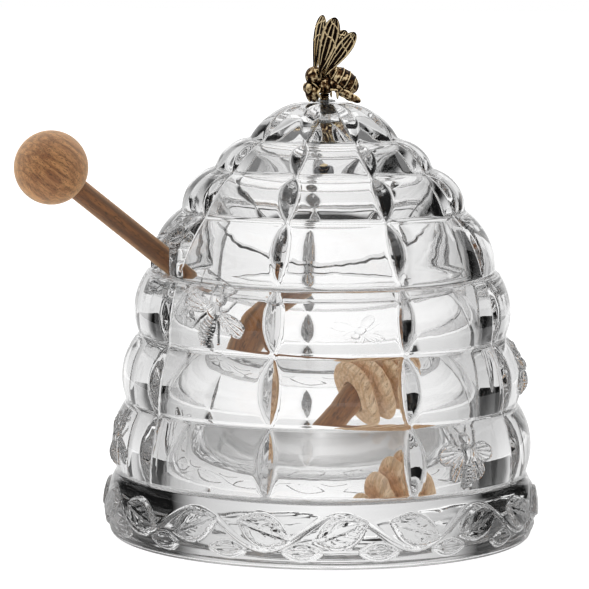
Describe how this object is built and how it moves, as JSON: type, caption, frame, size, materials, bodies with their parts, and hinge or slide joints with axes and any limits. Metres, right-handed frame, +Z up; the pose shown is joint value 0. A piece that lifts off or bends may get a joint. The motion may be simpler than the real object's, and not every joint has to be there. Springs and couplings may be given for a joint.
{
  "type": "honey pot",
  "caption": "Cut crystal beehive honey pot: footed jar with a leaf band, domed lid with an arched notch, brass bee finial and a turned wooden honey dipper",
  "frame": {"origin": "centre of the flat underside of the jar's foot", "axes": "+Z up; the dipper lies in the XZ plane and leans out over the rim towards -X, through the notch in the lid"},
  "size_m": [0.1562, 0.1262, 0.1529],
  "materials": {
    "crystal": "polished clear lead crystal, pressed and cut",
    "clear_plastic": "clear soft plastic washer",
    "rubber": "black rubber washer",
    "plated_steel": "zinc plated nut",
    "antique_brass": "antiqued brass, dark in the recesses",
    "beech_ball": "sanded beech ball, unvarnished",
    "beech_dowel": "darker beech dowel",
    "beech_head": "turned beech with honey grooves"
  },
  "bodies": {
    "jar": {"jar": "crystal"},
    "lid": {"lid": "crystal", "seat_washer": "clear_plastic", "cushion_washer": "rubber", "nut": "plated_steel", "finial_stud": "antique_brass", "bee_body": "antique_brass", "left_fore_wing": "antique_brass", "left_hind_wing": "antique_brass", "right_fore_wing": "antique_brass", "right_hind_wing": "antique_brass"},
    "dipper": {"dipper_knob": "beech_ball", "dipper_rod": "beech_dowel", "dipper_head": "beech_head"}
  },
  "joints": [
    {"name": "lid_lift", "type": "slide", "parent": "jar", "child": "lid", "axis": [0, 0, 1], "range_m": [0, 0.06]},
    {"name": "dipper_draw", "type": "slide", "parent": "jar", "child": "dipper", "axis": [-0.7806, 0, 0.625], "range_m": [0, 0.045]}
  ]
}
